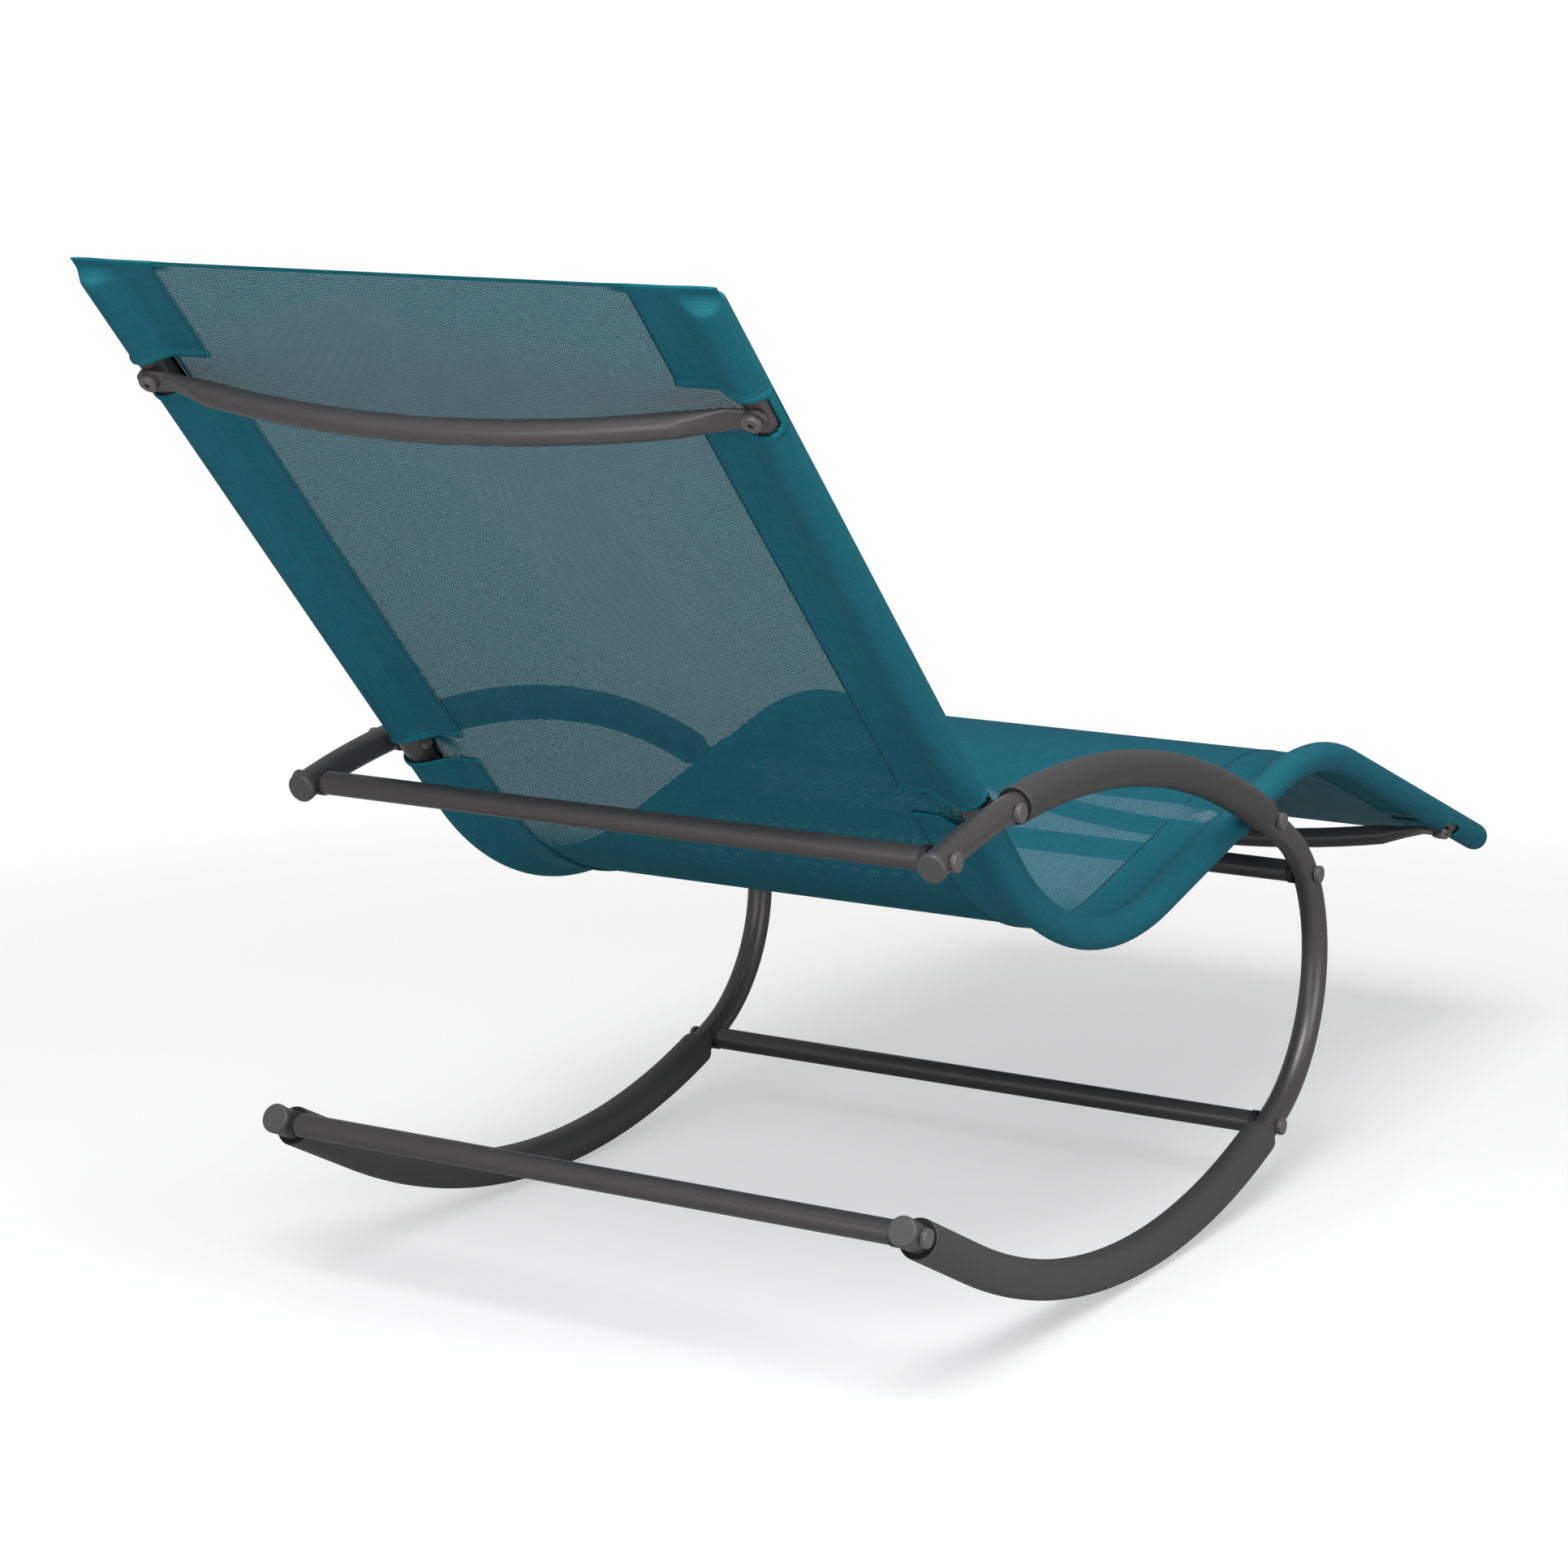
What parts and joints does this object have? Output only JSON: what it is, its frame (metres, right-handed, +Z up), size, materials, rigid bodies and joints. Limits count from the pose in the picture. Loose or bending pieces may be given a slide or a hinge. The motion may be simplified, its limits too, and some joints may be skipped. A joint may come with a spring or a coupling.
{
  "type": "rocking chaise lounge",
  "caption": "Rocking lounge chair: a curved mesh sling on bent rails between bent-tube side frames that form armrests and sleeved rockers.",
  "frame": {"origin": "on the floor, under the middle of the overall length and on the symmetry plane, with the chair upright and unloaded", "axes": "+Z up; +Y towards the head end, so the sitter's feet point to -Y; +X towards the sitter's left; the X = 0 plane is the symmetry plane"},
  "size_m": [0.661, 1.6066, 0.9359],
  "materials": {
    "frame_paint": "satin",
    "rocker_rubber": "matte",
    "armrest_foam": "matte",
    "cap_plastic": "matte",
    "fastener": "satin",
    "sling_mesh": "matte"
  },
  "bodies": {
    "root": {"side_frame_left": "frame_paint", "side_frame_right": "frame_paint", "upper_tail_cap_left": "cap_plastic", "upper_tail_cap_right": "cap_plastic", "lower_tail_cap_left": "cap_plastic", "lower_tail_cap_right": "cap_plastic", "armrest_sleeve_left": "armrest_foam", "armrest_sleeve_right": "armrest_foam", "rocker_sleeve_left": "rocker_rubber", "rocker_sleeve_right": "rocker_rubber", "seat_rail_left": "frame_paint", "seat_rail_right": "frame_paint", "head_rail_plug_left": "cap_plastic", "head_rail_plug_right": "cap_plastic", "foot_rail_plug_left": "cap_plastic", "foot_rail_plug_right": "cap_plastic", "crossbar_upper_rear": "frame_paint", "crossbar_lower_rear": "frame_paint", "crossbar_upper_front": "frame_paint", "crossbar_lower_front": "frame_paint", "crossbar_saddles": "cap_plastic", "crossbar_bolts": "fastener", "rail_bolts": "fastener", "rail_spacers": "cap_plastic", "rail_nuts": "fastener", "head_spreader": "frame_paint", "foot_spreader": "frame_paint", "spreader_bolts": "fastener", "sling": "sling_mesh"}
  },
  "joints": []
}
